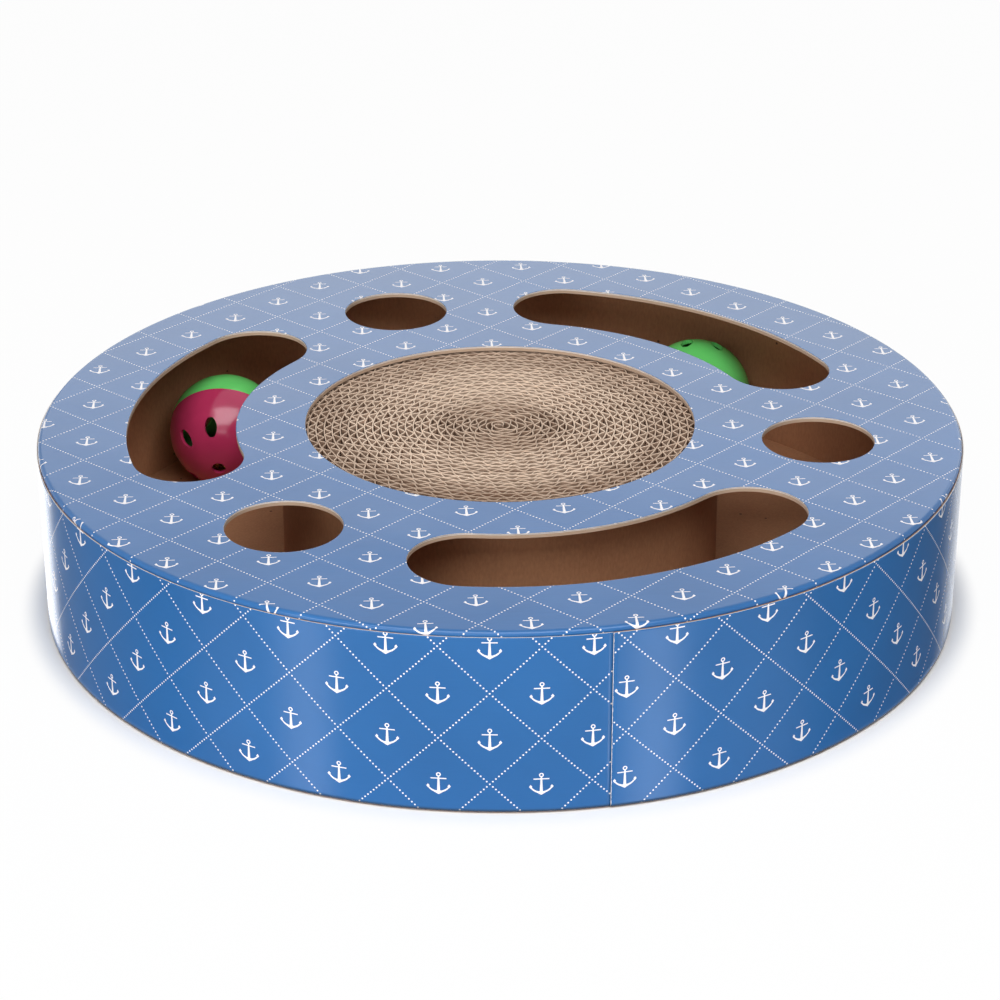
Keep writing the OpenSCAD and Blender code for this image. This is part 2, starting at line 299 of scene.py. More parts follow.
def printed_paper(name, prints, diagonal, place, turn, streak, ior):
    """Film-laminated printed paper: the glossy film gives clear reflections, the blue ink under it has faint
    streaks along the sheet, and the anchors and dots are bare white paper. The sheet's own UV map is its
    unrolled size. The streak says how strong the streaks are beside the ink's clouds."""
    material, tree = blank_material(name)
    sheet = add(tree, "ShaderNodeUVMap", uv_map=SHEET_UV).outputs[0]
    placed = add(
        tree,
        "ShaderNodeMapping",
        {"Vector": sheet, "Location": (*place, 0), "Rotation": (0, 0, turn), "Scale": (MM, MM, MM)},
        vector_type="TEXTURE",
    ).outputs[0]
    split = add(tree, "ShaderNodeSeparateXYZ", {0: placed})
    side = diagonal / MM * HALF_ROOT
    made = {
        "x": split.outputs["X"],
        "y": split.outputs["Y"],
        "half_side": side / 2,
        "minus_half_side": -side / 2,
        "half_dot_pitch": side / prints.dots / 2,
        "dot_square": (prints.dot_d / MM / 2) ** 2,
    }
    for step, operation, *parts in LATTICE_STEPS + ANCHOR_STEPS:
        values = {i: made.get(part, part) for i, part in enumerate(parts)}
        made[step] = add(tree, "ShaderNodeMath", values, operation=operation).outputs[0]
    # Streaks about 12 mm long and 0.5 mm wide, over clouds of about 60 mm
    stretched = add(tree, "ShaderNodeMapping", {"Vector": placed, "Scale": (1 / 12, 1 / 0.5, 1)})
    streaks = add(tree, "ShaderNodeTexNoise", {"Vector": stretched.outputs[0], "Scale": 1.0, "Detail": 3.0})
    clouds = add(tree, "ShaderNodeTexNoise", {"Vector": placed, "Scale": 1 / 60, "Detail": 2.0})
    mixed = add(
        tree,
        "ShaderNodeMath",
        {0: streaks.outputs[0], 1: streak, 2: clouds.outputs[0]},
        operation="MULTIPLY_ADD",
    )
    # Noise lies about a half, so the mix lies about this value
    middle = 0.5 + 0.5 * streak
    shade = add(
        tree,
        "ShaderNodeMapRange",
        {"Value": mixed.outputs[0], "From Min": middle - 0.3, "From Max": middle + 0.3},
    )
    ink = add(
        tree,
        "ShaderNodeMix",
        {0: shade.outputs[0], 6: tuple(prints.deep_ink), 7: tuple(prints.ink)},
        data_type="RGBA",
    )
    # Torn fibres show white along the wall's lapped end, a little wider and narrower every 1.5 mm
    cut = add(tree, "ShaderNodeAttribute", attribute_name=CUT_LAYER).outputs["Fac"]
    bits = add(tree, "ShaderNodeTexNoise", {"Vector": placed, "Scale": 1 / 1.5, "Detail": 2.0})
    ragged = add(tree, "ShaderNodeMath", {0: bits.outputs[0], 1: 0.4, 2: cut}, operation="MULTIPLY_ADD")
    torn = add(tree, "ShaderNodeMath", {0: ragged.outputs[0], 1: 1.12}, operation="GREATER_THAN")
    white = add(tree, "ShaderNodeMath", {0: made["bare"], 1: torn.outputs[0]}, operation="MAXIMUM")
    printed = add(
        tree,
        "ShaderNodeMix",
        {0: white.outputs[0], 6: ink.outputs[2], 7: tuple(prints.white)},
        data_type="RGBA",
    )
    # Painted shade: the paper is darkened over the drum's lowest millimetre, most at the foot, for the
    # contact shadow there
    on_drum = add(tree, "ShaderNodeTexCoord").outputs["Object"]
    height = add(tree, "ShaderNodeSeparateXYZ", {0: on_drum}).outputs["Z"]
    painted_foot_shade = add(
        tree,
        "ShaderNodeMapRange",
        {"Value": height, "From Min": 0.3 * MM, "From Max": 1.3 * MM, "To Min": 0.7, "To Max": 0.0},
        interpolation_type="SMOOTHSTEP",
    )
    paint = add(
        tree,
        "ShaderNodeMix",
        {0: painted_foot_shade.outputs[0], 6: printed.outputs[2], 7: tuple(prints.painted_foot_shade)},
        data_type="RGBA",
    )
    # The film's skin: slow waves of about 25 mm with smaller ones in them, and a fine grain of about 1.2 mm
    waves = add(tree, "ShaderNodeTexNoise", {"Vector": placed, "Scale": 1 / 25, "Detail": 2.5})
    grain = add(tree, "ShaderNodeTexNoise", {"Vector": placed, "Scale": 1 / 1.2, "Detail": 2.0})
    skin = add(
        tree,
        "ShaderNodeMath",
        {0: grain.outputs[0], 1: 0.04, 2: waves.outputs[0]},
        operation="MULTIPLY_ADD",
    )
    bump = add(tree, "ShaderNodeBump", {"Height": skin.outputs[0], "Strength": 0.25, "Distance": 0.25 * MM})
    rough = add(tree, "ShaderNodeMapRange", {"Value": grain.outputs[0], "To Min": 0.14, "To Max": 0.24})
    shader = add(
        tree,
        "ShaderNodeBsdfPrincipled",
        {
            "Base Color": paint.outputs[2],
            "Roughness": rough.outputs[0],
            "Normal": bump.outputs[0],
            "IOR": ior,
        },
    )
    return finish_material(material, shader)


def cut_paper(prints):
    """Cut edge of the paper: short bare fibres, matt and off-white, with a little grey in it."""
    material, tree = blank_material("cut_paper_edge")
    place = add(tree, "ShaderNodeTexCoord").outputs["Object"]
    fibres = add(tree, "ShaderNodeTexNoise", {"Vector": place, "Scale": 1 / (0.8 * MM), "Detail": 3.0})
    paint = add(
        tree,
        "ShaderNodeMix",
        {0: fibres.outputs[0], 6: tuple(prints.edge_dark), 7: tuple(prints.edge)},
        data_type="RGBA",
    )
    shader = add(tree, "ShaderNodeBsdfPrincipled", {"Base Color": paint.outputs[2], "Roughness": 0.85})
    return finish_material(material, shader)


def kraft_board(finish):
    """Unbleached kraft board: matt brown with fine fibres, soft clouds and a few dark flecks."""
    material, tree = blank_material("kraft_board")
    place = add(tree, "ShaderNodeTexCoord").outputs["Object"]
    # Fibres about 0.8 mm wide and 2 mm long, upright on the walls
    upright = add(
        tree, "ShaderNodeMapping", {"Vector": place, "Scale": (1 / (0.8 * MM), 1 / (0.8 * MM), 1 / (2 * MM))}
    )
    fibres = add(tree, "ShaderNodeTexNoise", {"Vector": upright.outputs[0], "Scale": 1.0, "Detail": 4.0})
    clouds = add(tree, "ShaderNodeTexNoise", {"Vector": place, "Scale": 1 / (35 * MM), "Detail": 3.0})
    mixed = add(tree, "ShaderNodeMath", {0: fibres.outputs[0], 1: clouds.outputs[0]}, operation="ADD")
    shade = add(tree, "ShaderNodeMapRange", {"Value": mixed.outputs[0], "From Min": 0.7, "From Max": 1.3})
    face = add(
        tree,
        "ShaderNodeMix",
        {0: shade.outputs[0], 6: tuple(finish.kraft_dark), 7: tuple(finish.kraft)},
        data_type="RGBA",
    )
    # Flecks of bark, about 1 mm across and some 12 mm apart
    flecks = add(tree, "ShaderNodeTexVoronoi", {"Vector": place, "Scale": 1 / (12 * MM)})
    fleck = add(tree, "ShaderNodeMath", {0: flecks.outputs["Distance"], 1: 0.045}, operation="LESS_THAN")
    flecked = add(
        tree,
        "ShaderNodeMix",
        {0: fleck.outputs[0], 6: face.outputs[2], 7: tuple(finish.fleck)},
        data_type="RGBA",
    )
    bump = add(tree, "ShaderNodeBump", {"Height": fibres.outputs[0], "Strength": 0.2, "Distance": 0.1 * MM})
    shader = add(
        tree,
        "ShaderNodeBsdfPrincipled",
        {"Base Color": flecked.outputs[2], "Roughness": 0.82, "Normal": bump.outputs[0]},
    )
    return finish_material(material, shader)


def die_cut_board(finish, white, white_z):
    """Solid board with die-cut sides: brown on its faces, and paler on the cut, which shows plies of 0.4 mm.
    The cut is white above a height: this widens the white edge of the paper above it, and is partly a painted
    highlight along the edge."""
    material, tree = blank_material("die_cut_board")
    place = add(tree, "ShaderNodeTexCoord").outputs["Object"]
    normal = add(tree, "ShaderNodeNewGeometry").outputs["True Normal"]
    upright = add(tree, "ShaderNodeSeparateXYZ", {0: normal}).outputs["Z"]
    flat = add(tree, "ShaderNodeMath", {0: upright}, operation="ABSOLUTE")
    side = add(tree, "ShaderNodeMath", {0: flat.outputs[0], 1: 0.5}, operation="LESS_THAN")
    plies = add(
        tree,
        "ShaderNodeMapping",
        {"Vector": place, "Scale": (1 / (6 * MM), 1 / (6 * MM), 1 / (0.4 * MM))},
    )
    layers = add(tree, "ShaderNodeTexNoise", {"Vector": plies.outputs[0], "Scale": 1.0, "Detail": 3.0})
    core = add(
        tree,
        "ShaderNodeMix",
        {0: layers.outputs[0], 6: tuple(finish.cut_dark), 7: tuple(finish.cut)},
        data_type="RGBA",
    )
    height = add(tree, "ShaderNodeSeparateXYZ", {0: place}).outputs["Z"]
    lined = add(tree, "ShaderNodeMath", {0: height, 1: white_z}, operation="GREATER_THAN")
    edge = add(
        tree,
        "ShaderNodeMix",
        {0: lined.outputs[0], 6: core.outputs[2], 7: tuple(white)},
        data_type="RGBA",
    )
    fibres = add(tree, "ShaderNodeTexNoise", {"Vector": place, "Scale": 1 / (1.5 * MM), "Detail": 4.0})
    face = add(
        tree,
        "ShaderNodeMix",
        {0: fibres.outputs[0], 6: tuple(finish.kraft_dark), 7: tuple(finish.kraft)},
        data_type="RGBA",
    )
    paint = add(
        tree, "ShaderNodeMix", {0: side.outputs[0], 6: face.outputs[2], 7: edge.outputs[2]}, data_type="RGBA"
    )
    bump = add(tree, "ShaderNodeBump", {"Height": layers.outputs[0], "Strength": 0.4, "Distance": 0.15 * MM})
    shader = add(
        tree,
        "ShaderNodeBsdfPrincipled",
        {"Base Color": paint.outputs[2], "Roughness": 0.85, "Normal": bump.outputs[0]},
    )
    return finish_material(material, shader)


def strip_paper(name, coil):
    """Rough-cut kraft paper on edge: matt, pale where it is frayed and brown on its faces, with fine fibres;
    the dark brown of the faces is also painted shade down between the turns. The tone layer says how pale it
    is."""
    material, tree = blank_material(name)
    place = add(tree, "ShaderNodeTexCoord").outputs["Object"]
    tone = add(tree, "ShaderNodeAttribute", attribute_name=TONE_LAYER).outputs["Fac"]
    fibres = add(tree, "ShaderNodeTexNoise", {"Vector": place, "Scale": 1 / (0.9 * MM), "Detail": 4.0})
    mixed = add(tree, "ShaderNodeMath", {0: fibres.outputs[0], 1: 0.3, 2: tone}, operation="MULTIPLY_ADD")
    shade = add(tree, "ShaderNodeMapRange", {"Value": mixed.outputs[0], "From Min": 0.15, "From Max": 1.15})
    paint = add(
        tree,
        "ShaderNodeMix",
        {0: shade.outputs[0], 6: tuple(coil.dark), 7: tuple(coil.light)},
        data_type="RGBA",
    )
    bump = add(tree, "ShaderNodeBump", {"Height": fibres.outputs[0], "Strength": 0.5, "Distance": 0.15 * MM})
    shader = add(
        tree,
        "ShaderNodeBsdfPrincipled",
        {"Base Color": paint.outputs[2], "Roughness": 0.9, "Normal": bump.outputs[0]},
    )
    return finish_material(material, shader)


def moulded_shell(name, paint, deep):
    """Soft polyethylene, moulded: a waxy gloss, slow clouds in the colour and fine scuffs in the shine."""
    material, tree = blank_material(name)
    place = add(tree, "ShaderNodeTexCoord").outputs["Object"]
    clouds = add(tree, "ShaderNodeTexNoise", {"Vector": place, "Scale": 1 / (14 * MM), "Detail": 3.0})
    shade = add(tree, "ShaderNodeMapRange", {"Value": clouds.outputs[0], "From Min": 0.3, "From Max": 0.7})
    tint = add(
        tree,
        "ShaderNodeMix",
        {0: shade.outputs[0], 6: tuple(deep), 7: tuple(paint)},
        data_type="RGBA",
    )
    scuffs = add(tree, "ShaderNodeTexNoise", {"Vector": place, "Scale": 1 / (1.6 * MM), "Detail": 4.0})
    rough = add(tree, "ShaderNodeMapRange", {"Value": scuffs.outputs[0], "To Min": 0.14, "To Max": 0.22})
    bump = add(tree, "ShaderNodeBump", {"Height": scuffs.outputs[0], "Strength": 0.04, "Distance": 0.05 * MM})
    shader = add(
        tree,
        "ShaderNodeBsdfPrincipled",
        {
            "Base Color": tint.outputs[2],
            "Roughness": rough.outputs[0],
            "Normal": bump.outputs[0],
            "IOR": 1.51,
        },
    )
    return finish_material(material, shader)


def pressed_metal(name, paint, grain):
    """Pressed sheet, or steel shot: bright, with fine marks of the tool that show as a broken shine."""
    material, tree = blank_material(name)
    place = add(tree, "ShaderNodeTexCoord").outputs["Object"]
    marks = add(tree, "ShaderNodeTexNoise", {"Vector": place, "Scale": 1 / grain, "Detail": 4.0})
    rough = add(tree, "ShaderNodeMapRange", {"Value": marks.outputs[0], "To Min": 0.18, "To Max": 0.4})
    tint = add(
        tree,
        "ShaderNodeMix",
        {0: marks.outputs[0], 6: tuple(paint), 7: tuple(0.8 * c for c in paint[:3]) + (1.0,)},
        data_type="RGBA",
    )
    shader = add(
        tree,
        "ShaderNodeBsdfPrincipled",
        {"Base Color": tint.outputs[2], "Metallic": 1.0, "Roughness": rough.outputs[0]},
    )
    return finish_material(material, shader)


def quads(rows, columns, wrap_rows=False, wrap_columns=False):
    """Corner numbers of a grid's quads: each joins a point to the next one along both parameters."""
    i = np.arange(rows if wrap_rows else rows - 1)
    j = np.arange(columns if wrap_columns else columns - 1)
    a, b = np.meshgrid(i, j, indexing="ij")
    c, d = (a + 1) % rows, (b + 1) % columns
    corners = np.stack([a * columns + b, c * columns + b, c * columns + d, a * columns + d], axis=-1)
    return corners.reshape(-1, 4)


def add_mesh(name, patches, layer=None, uv=None):
    """One smooth mesh object from patches: dicts of points, faces and the values of a layer and a UV map."""
    starts = np.cumsum([0] + [p["points"].reshape(-1, 3).shape[0] for p in patches[:-1]])
    points = np.concatenate([p["points"].reshape(-1, 3) for p in patches])
    faces = np.concatenate([p["faces"] + start for p, start in zip(patches, starts)])
    mesh = bpy.data.meshes.new(name)
    mesh.vertices.add(len(points))
    mesh.vertices.foreach_set("co", points.astype(np.float32).ravel())
    mesh.loops.add(faces.size)
    mesh.loops.foreach_set("vertex_index", faces.astype(np.int32).ravel())
    mesh.polygons.add(len(faces))
    mesh.polygons.foreach_set("loop_start", np.arange(0, faces.size, 4, dtype=np.int32))
    mesh.update(calc_edges=True)
    if layer:
        values = np.concatenate([p["layer"].ravel() for p in patches])
        mesh.attributes.new(layer, "FLOAT", "POINT").data.foreach_set("value", values.astype(np.float32))
    if uv:
        values = np.concatenate([p["uv"].reshape(-1, 2) for p in patches])[faces.ravel()]
        mesh.uv_layers.new(name=uv).data.foreach_set("uv", values.astype(np.float32).ravel())
    mesh.validate()
    merge_doubles(mesh)
    mesh.polygons.foreach_set("use_smooth", np.ones(len(mesh.polygons), bool))
    piece = bpy.data.objects.new(name, mesh)
    bpy.context.scene.collection.objects.link(piece)
    return piece


def merge_doubles(mesh):
    """Closes the seams between patches: points that lie on each other become one."""
    shape = bmesh.new()
    shape.from_mesh(mesh)
    bmesh.ops.remove_doubles(shape, verts=shape.verts, dist=0.001 * MM)
    shape.to_mesh(mesh)
    shape.free()


def place_piece(piece, materials, slot, *nodes):
    """Gives a piece its materials and its place in the frame, where it stands for CAD nodes."""
    for material in materials:
        piece.data.materials.append(material)
    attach(piece, BODY)
    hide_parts(*nodes)


def thicken(piece, thickness):
    """Gives a sheet its thickness, inwards from the face that shows. The second material is on cut edges."""
    solid = piece.modifiers.new("paper", "SOLIDIFY")
    solid.thickness = thickness
    solid.offset = -1
    solid.use_rim = True
    solid.material_offset_rim = 1


# The ripple's waves: their length in metres, and their heading and phase in radians
RIPPLE_WAVES = ((0.071, 0.3, 0.4), (0.052, 1.4, 2.0), (0.089, 2.3, 4.1), (0.041, 2.9, 1.2))
RIPPLE_H = 0.02 * MM


def ripple(x, y):
    """Slow unevenness of the glued paper: the sum of four sine waves, in metres."""
    return sum(
        RIPPLE_H * np.sin((x * math.cos(heading) + y * math.sin(heading)) * 2 * math.pi / wave + phase)
        for wave, heading, phase in RIPPLE_WAVES
    )


def polar(radius, turn):
    """Plane points at radii and angles."""
    return np.stack([radius * np.cos(turn), radius * np.sin(turn)], axis=-1)


def half_round(centre_r, centre_turn, radius, side, steps):
    """Radii and angles along half of an opening's round end, from its nearest point to the axis outwards.
    Point: centre + radius (sin f outwards + side cos f sideways), f from -90 to 90 degrees."""
    f = np.linspace(-math.pi / 2, math.pi / 2, steps)
    out = centre_r + radius * np.sin(f)
    across = side * radius * np.cos(f)
    return np.hypot(out, across), centre_turn + np.arctan2(across, out)


def spaced(count, margin):
    """Parameters from 0 to 1, with one more close to each end."""
    return np.concatenate([[0], np.linspace(margin, 1 - margin, count), [1]])


class DRUM_OT_top_sheet(bpy.types.Operator):
    """Printed paper on the top, cut out at the openings and turned down over the rim"""

    bl_idname = "drum.top_sheet"
    bl_label = "Top sheet"

    def execute(self, context):
        case, prints = context.scene.drum_case, context.scene.drum_print
        piece = add_mesh("top_sheet", top_patches(case, prints), uv=SHEET_UV)
        thicken(piece, prints.paper_t)
        place = (prints.top_x, prints.top_y)
        paper = printed_paper(
            "laminated_print_top", prints, prints.top_diagonal, place, prints.top_turn, streak=0.7, ior=1.4
        )
        place_piece(piece, [paper, cut_paper(prints)], "printed_paper", "top_print")
        return {"FINISHED"}


# How fine the top's grid is: from a hole to a slot, along a slot, round half of an end, across a ring, round
# the paper's bend over the rim and down its skirt
BRIDGE_COLUMNS = 14
SLOT_COLUMNS = 55
END_ROWS = 41
RING_ROWS = 8
BEND_ROWS = 9
SKIRT_ROWS = 4


def top_patches(case, prints):
    """The top in patches that share their borders. Round the axis the border angles run hole, bridge, slot
    and bridge. The inner ring goes from the coil's opening to the openings, the outer ring from there over
    the rim. Each bridge is a grid between a hole's half round and a slot's, blended in radius and angle."""
    step = 2 * math.pi / case.openings
    hole_r, end_r = case.hole_d / 2, case.slot_w / 2
    bridge = (step - case.slot_spread) / 2
    blend = spaced(BRIDGE_COLUMNS, margin=0.012)
    along_slot = np.linspace(0, 1, SLOT_COLUMNS)[1:-1]
    turns, halves = [], []
    patches = []
    for i in range(case.openings):
        hole = case.hole_phase + i * step
        ends = (hole + bridge, hole + bridge + case.slot_spread)
        slot = ends[0] + case.slot_spread * along_slot
        turns += [hole + bridge * blend, slot, ends[1] + bridge * blend[:-1]]
        halves += [hole_r + (end_r - hole_r) * way for way in (blend, along_slot * 0 + 1, 1 - blend[:-1])]
        for start, end, radii in ((hole, ends[0], (hole_r, end_r)), (ends[1], hole + step, (end_r, hole_r))):
            patches.append(bridge_patch(case, start, end, radii, blend))
    turns, halves = np.concatenate(turns), np.concatenate(halves)
    patches.append(inner_patch(case, turns, case.slot_r - halves))
    patches.append(outer_patch(case, turns, case.slot_r + halves))
    for patch in patches:
        patch["uv"] = stretched_print(prints, patch["uv"])
    return patches


def stretched_print(prints, plan):
    """Where a point of the top lies on the flat sheet, before the glue stretched it along, squeezed it
    across and left it skewed."""
    x, y = plan[..., 0], plan[..., 1]
    flat_x = x * (1 + prints.top_squeeze) - y * math.tan(prints.top_skew)
    return np.stack([flat_x, y * (1 - prints.top_stretch)], axis=-1)


def flat_patch(case, radius, turn, faces):
    """A patch of the flat top: its height is the top's, with the paper's slow ripple."""
    plan = polar(radius, turn)
    z = case.top_z + ripple(plan[..., 0], plan[..., 1])
    return {"points": np.dstack([plan, z]), "faces": faces, "uv": plan}


def bridge_patch(case, start, end, radii, blend):
    """The panel between two openings: rows run along the two half rounds, columns from one to the other."""
    near_r, near_turn = half_round(case.slot_r, start, radii[0], 1, END_ROWS)
    far_r, far_turn = half_round(case.slot_r, end, radii[1], -1, END_ROWS)
    radius = near_r[:, None] * (1 - blend) + far_r[:, None] * blend
    turn = near_turn[:, None] * (1 - blend) + far_turn[:, None] * blend
    return flat_patch(case, radius, turn, quads(END_ROWS, len(blend)))


def inner_patch(case, turns, inner):
    """The ring between the coil's opening and the other openings."""
    way = spaced(RING_ROWS, margin=0.015)[:, None]
    radius = case.scratch_r + way * (inner - case.scratch_r)
    turn = np.broadcast_to(turns, radius.shape)
    return flat_patch(case, radius, turn, quads(*radius.shape, wrap_columns=True))


def outer_patch(case, turns, outer):
    """The ring between the openings and the rim, and the paper's bend and skirt round it. The bend is a
    quarter round. The UV map lays bend and skirt out flat, so that the print runs on over them."""
    flat_r = case.rim_r - case.rim_round
    way = spaced(RING_ROWS, margin=0.015)[:, None]
    radius = outer + way * (flat_r - outer)
    turn = np.broadcast_to(turns, radius.shape)
    plan = polar(radius, turn)
    z = case.top_z + ripple(plan[..., 0], plan[..., 1]) * (1 - way)
    bend = np.linspace(0, math.pi / 2, BEND_ROWS)[1:, None]
    skirt = np.linspace(0, 1, SKIRT_ROWS)[1:, None]
    fall = case.top_z - case.rim_round - case.seat_z
    rim_r = np.concatenate([flat_r + case.rim_round * np.sin(bend), 0 * skirt + case.rim_r])
    bend_z = case.top_z - case.rim_round * (1 - np.cos(bend))
    rim_z = np.concatenate([bend_z, case.seat_z + fall * (1 - skirt)])
    bent_r = flat_r + case.rim_round * math.pi / 2
    unrolled = np.concatenate([flat_r + case.rim_round * bend, bent_r + fall * skirt])
    rim_turn = np.broadcast_to(turns, (len(rim_r), len(turns)))
    rim = np.dstack([polar(rim_r, rim_turn), np.broadcast_to(rim_z, rim_turn.shape)])
    points = np.concatenate([np.dstack([plan, z]), rim])
    uv = np.concatenate([plan, polar(unrolled, rim_turn)])
    return {"points": points, "faces": quads(*points.shape[:2], wrap_columns=True), "uv": uv}


class DRUM_OT_wall_sheet(bpy.types.Operator):
    """Printed paper round the wall, one end lapped over the other"""

    bl_idname = "drum.wall_sheet"
    bl_label = "Wall sheet"

    def execute(self, context):
        case, prints = context.scene.drum_case, context.scene.drum_print
        piece = add_mesh("wall_sheet", [wall_patch(case, prints)], CUT_LAYER, SHEET_UV)
        thicken(piece, prints.paper_t)
        place = (prints.wall_x, prints.wall_z)
        paper = printed_paper(
            "laminated_print_wall", prints, prints.wall_diagonal, place, turn=0, streak=0.2, ior=1.35
        )
        place_piece(piece, [paper, cut_paper(prints)], "printed_paper", "wall_print")
        return {"FINISHED"}


# The wall's swells: how many go round, their phase in radians and their height in millimetres
SWELL_WAVES = ((9, 0.7, 0.10), (14, 2.1, 0.09), (23, 4.0, 0.05))
# How far round the wall's paper takes to come down from its lapped end
LAP_RUN = math.radians(80)
# How fine the wall's grid is
WALL_COLUMNS = 721
WALL_ROWS = 9


def wall_swell(turn):
    """How far the board under the wall's paper stands out, in metres: never inwards, in slow uneven flats."""
    return MM * sum(size * (1 + np.sin(count * turn + phase)) / 2 for count, phase, size in SWELL_WAVES)


def wall_patch(case, prints):
    """The wall's paper: columns go round from the seam, rows up. Radius: the drum's, plus one paper's
    thickness at the lapped end that eases off as a cosine squared, plus the board's swell. The UV map is arc
    length and height, less the bow of the pattern's rows: one minus the cosine of the way from where they
    lie lowest."""
    turn = np.linspace(0, 2 * math.pi, WALL_COLUMNS)
    way = spaced(WALL_ROWS, margin=0.01)[:, None]
    lap = prints.paper_t * np.cos(np.clip(turn / LAP_RUN, 0, 1) * math.pi / 2) ** 2
    radius = case.drum_r + lap + wall_swell(turn)
    foot_gap, foot_wave = 0.03 * MM, 0.1 * MM
    foot = foot_gap + foot_wave * (0.5 + 0.5 * np.sin(5 * turn + 1)) * np.sin(2.5 * turn) ** 2
    head_lift, head_wave = 0.1 * MM, 0.06 * MM
    head = case.seat_z + head_lift + head_wave * np.sin(7 * turn + 2)
    z = foot + way * (head - foot)
    around = np.broadcast_to(turn, z.shape)
    points = np.dstack([polar(np.broadcast_to(radius, z.shape), around + prints.seam), z])
    bow = prints.wall_bow * (1 - np.cos(around + prints.seam - prints.wall_low))
    uv = np.dstack([around * case.drum_r, z - bow])
    layer = np.zeros(z.shape)
    layer[:, 0] = 1
    faces = quads(*z.shape)[:, ::-1]
    return {"points": points, "faces": faces, "layer": layer, "uv": uv}


class DRUM_OT_boards(bpy.types.Operator):
    """Kraft finish of the base, the wall, the tube and the top board"""

    bl_idname = "drum.boards"
    bl_label = "Boards"

    def execute(self, context):
        case, finish = context.scene.drum_case, context.scene.drum_finish
        board = kraft_board(finish)
        # The white band along the top of the cut: the paper's white edge drawn wider, and partly a painted
        # highlight
        white_edge_and_highlight_t = 0.25 * MM
        cut = die_cut_board(finish, context.scene.drum_print.edge, case.board_z - white_edge_and_highlight_t)
        for node in ("base_panel", "outer_wall", "inner_tube"):
            dress_node(node, board)
        dress_node("top_panel", cut)
        return {"FINISHED"}


def dress_node(node, material):
    """Puts a material on a CAD node, whose shape stays as it is."""
    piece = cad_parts[node]
    piece.data.materials.clear()
    piece.data.materials.append(material)


class DRUM_OT_coil(bpy.types.Operator):
    """The wound strip: flat paper and the flutes glued to it"""

    bl_idname = "drum.coil"
    bl_label = "Scratching coil"

    def execute(self, context):
        coil = context.scene.drum_coil
        foot, head = low("coil_liner"), high("coil_liner")
        patch = strip_patch(*liner_line(coil), coil.liner_t, foot, head)
        liner = add_mesh("coil_flat_strip", [patch], TONE_LAYER)
        place_piece(liner, [strip_paper("flat_strip_paper", coil)], "liner_paper", "coil_liner")
        patch = strip_patch(*flute_line(coil), coil.flute_t, foot, head)
        flutes = add_mesh("coil_flute_strip", [patch], TONE_LAYER)
        place_piece(flutes, [strip_paper("flute_strip_paper", coil)], "flute_paper", "coil_flutes")
        return {"FINISHED"}


# Half turns that the strip starts with inside its innermost whole turn
CORE_HALF_TURNS = 2
# Half turns out from the core, and how far the strip is worn pale there
WORN_HALF_TURNS = ((0, 0.45), (6, 0.3), (10, 0.4), (15, 0.95), (30, 1.0), (37, 0.5), (48, 0.35))


def strip_point(coil, half, depth):
    """Point of the spiral, half turns along it, at a depth out from the strip's inner face.
    Half turn k is a half circle about a centre a quarter pitch off the axis, left and right in turn; each
    is half a pitch larger than the one before."""
    k = np.minimum(np.floor(half), coil.half_turns - 1)
    middle = np.where(k % 2 == 0, -1, 1) * coil.pitch / 4
    radius = coil.core_r + k * coil.pitch / 2 + depth
    return np.stack([middle + radius * np.cos(math.pi * half), radius * np.sin(math.pi * half)], axis=-1)


def half_turns_at(coil, spacing):
    """Half turns along the strip at even steps of about that length, from its start in the core to its outer
    end, and the strip's whole length."""
    ends = np.arange(-CORE_HALF_TURNS, coil.half_turns + 1)
    radii = coil.core_r + (ends[:-1] + 0.5) * coil.pitch / 2
    tightest_r = 0.4 * coil.core_r
    run = np.concatenate([[0], np.cumsum(math.pi * np.maximum(radii, tightest_r))])
    count = int(run[-1] / spacing)
    return np.interp(np.linspace(0, run[-1], count), run, ends), run[-1]


def wander(seed, count, knots):
    """Uneven values from 0 to 1: random knots with straight runs between them."""
    heights = np.random.default_rng(seed).random(knots)
    return np.interp(np.linspace(0, knots - 1, count), np.arange(knots), heights)


def strip_tone(half):
    """How pale the paper is along the strip: rubbed pale half way out, browner in the core and in the outer
    turns, and darker towards the front as painted shade, by the square of the sine and more so further out.
    Bands of turns are broken by patches of about 20 mm."""
    front_painted_shade, band_change, patch_change = 0.6, 0.25, 0.45
    count = len(half)
    # Painted shade: the front of the coil is darkened, more so in the outer turns
    front = np.maximum(0, -np.sin(math.pi * half)) ** 2 * half / half[-1]
    wear_and_shade = np.interp(half, *zip(*WORN_HALF_TURNS)) - front_painted_shade * front
    bands = band_change * (wander(3, count, 60) - 0.5)
    patches = patch_change * (wander(4, count, 700) - 0.5)
    return np.clip(wear_and_shade + bands + patches, 0, 1)


def liner_line(coil):
    """Centre line of the flat paper, bent a little in and out, and its tone."""
    spacing, bend_w = 2 * MM, 0.25 * MM
    half, _ = half_turns_at(coil, spacing)
    bend = bend_w * (wander(5, len(half), 900) - 0.5)
    return strip_point(coil, half, coil.liner_t / 2 + bend), strip_tone(half)


def flute_line(coil):
    """Centre line of the fluted paper and its tone: a cosine wave across the strip that fills it from one
    flat paper to the next, a little out of step and crushed in places."""
    per_flute, out_of_step, crushed = 10, 0.35, 0.22
    half, run = half_turns_at(coil, coil.flute_pitch / per_flute)
    flutes = run / coil.flute_pitch
    beat = np.linspace(0, flutes, len(half)) + out_of_step * (wander(6, len(half), int(flutes)) - 0.5)
    room = (coil.pitch - coil.liner_t - coil.flute_t) / 2
    height = room * (1 - crushed * wander(7, len(half), int(flutes / 3)) ** 3)
    depth = coil.liner_t + coil.flute_t / 2 + room - height + height * (1 - np.cos(2 * math.pi * beat))
    return strip_point(coil, half, depth), strip_tone(half)


